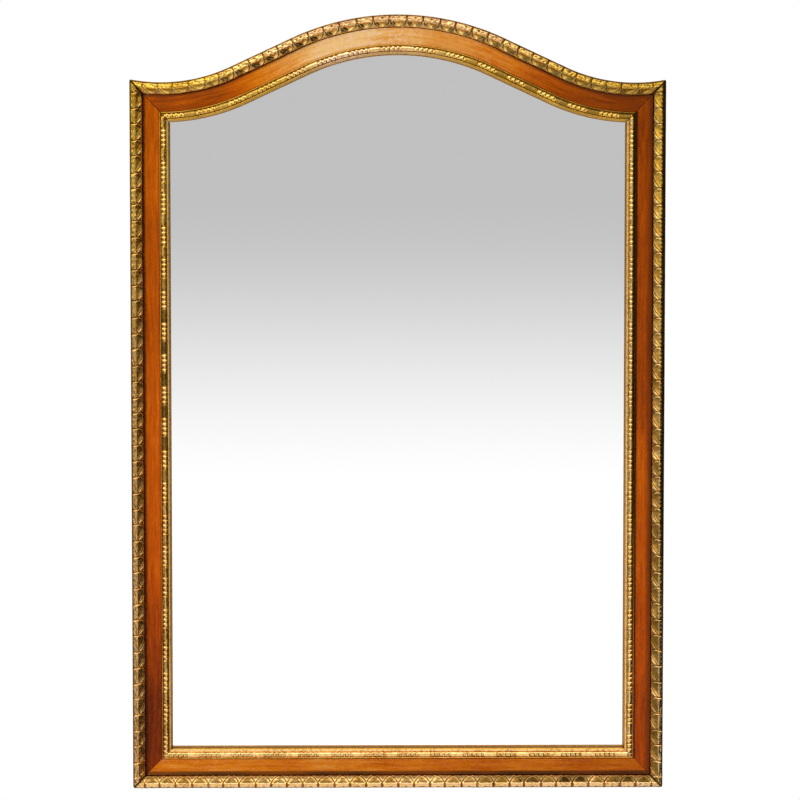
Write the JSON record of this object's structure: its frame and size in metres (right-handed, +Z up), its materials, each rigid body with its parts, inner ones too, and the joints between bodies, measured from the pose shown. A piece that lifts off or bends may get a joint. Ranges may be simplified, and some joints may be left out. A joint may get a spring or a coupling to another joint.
{
  "type": "framed wall mirror",
  "caption": "Wall mirror with an arched, shouldered top, a carved gilt edge, a polished wood frieze and a beaded gilt sight edge.",
  "frame": {"origin": "middle of the bottom edge, on the plane of the back of the frame, which lies against the wall", "axes": "+Z up, +X to the right as seen from the front, -Y towards the viewer, +Y into the wall"},
  "size_m": [0.72, 0.038, 1.045],
  "materials": {
    "core_wood": "planed softwood, unfinished",
    "key_wood": "planed hardwood",
    "frieze_wood": "polished reddish walnut facing, clear varnish",
    "gilt": "aged leaf gilding on carved wood, worn to the red ground on the high places",
    "mirror_glass": "silvered flat glass",
    "backing_wood": "thin plywood board, unfinished",
    "steel": "bright steel"
  },
  "bodies": {
    "frame": {"core_top": "core_wood", "core_bottom": "core_wood", "core_left": "core_wood", "core_right": "core_wood", "corner_keys": "key_wood", "frieze_top": "frieze_wood", "frieze_bottom": "frieze_wood", "frieze_left": "frieze_wood", "frieze_right": "frieze_wood", "carved_top": "gilt", "carved_bottom": "gilt", "carved_left": "gilt", "carved_right": "gilt", "beading_top": "gilt", "beading_bottom": "gilt", "beading_left": "gilt", "beading_right": "gilt", "mirror_plate": "mirror_glass", "setting_blocks": "key_wood", "backing_board": "backing_wood", "glazing_points": "steel", "hanger_strap_left": "steel", "hanger_strap_right": "steel", "hanger_screws": "steel"},
    "ring_left": {"hanger_ring_left": "steel"},
    "ring_right": {"hanger_ring_right": "steel"}
  },
  "joints": [
    {"name": "left_ring_swing", "type": "hinge", "parent": "frame", "child": "ring_left", "pos_m": [-0.334, -0.00295, 0.784], "axis": [0, 0, 1], "range_deg": [0, 178]},
    {"name": "right_ring_swing", "type": "hinge", "parent": "frame", "child": "ring_right", "pos_m": [0.334, -0.00295, 0.784], "axis": [0, 0, -1], "range_deg": [0, 178]}
  ]
}
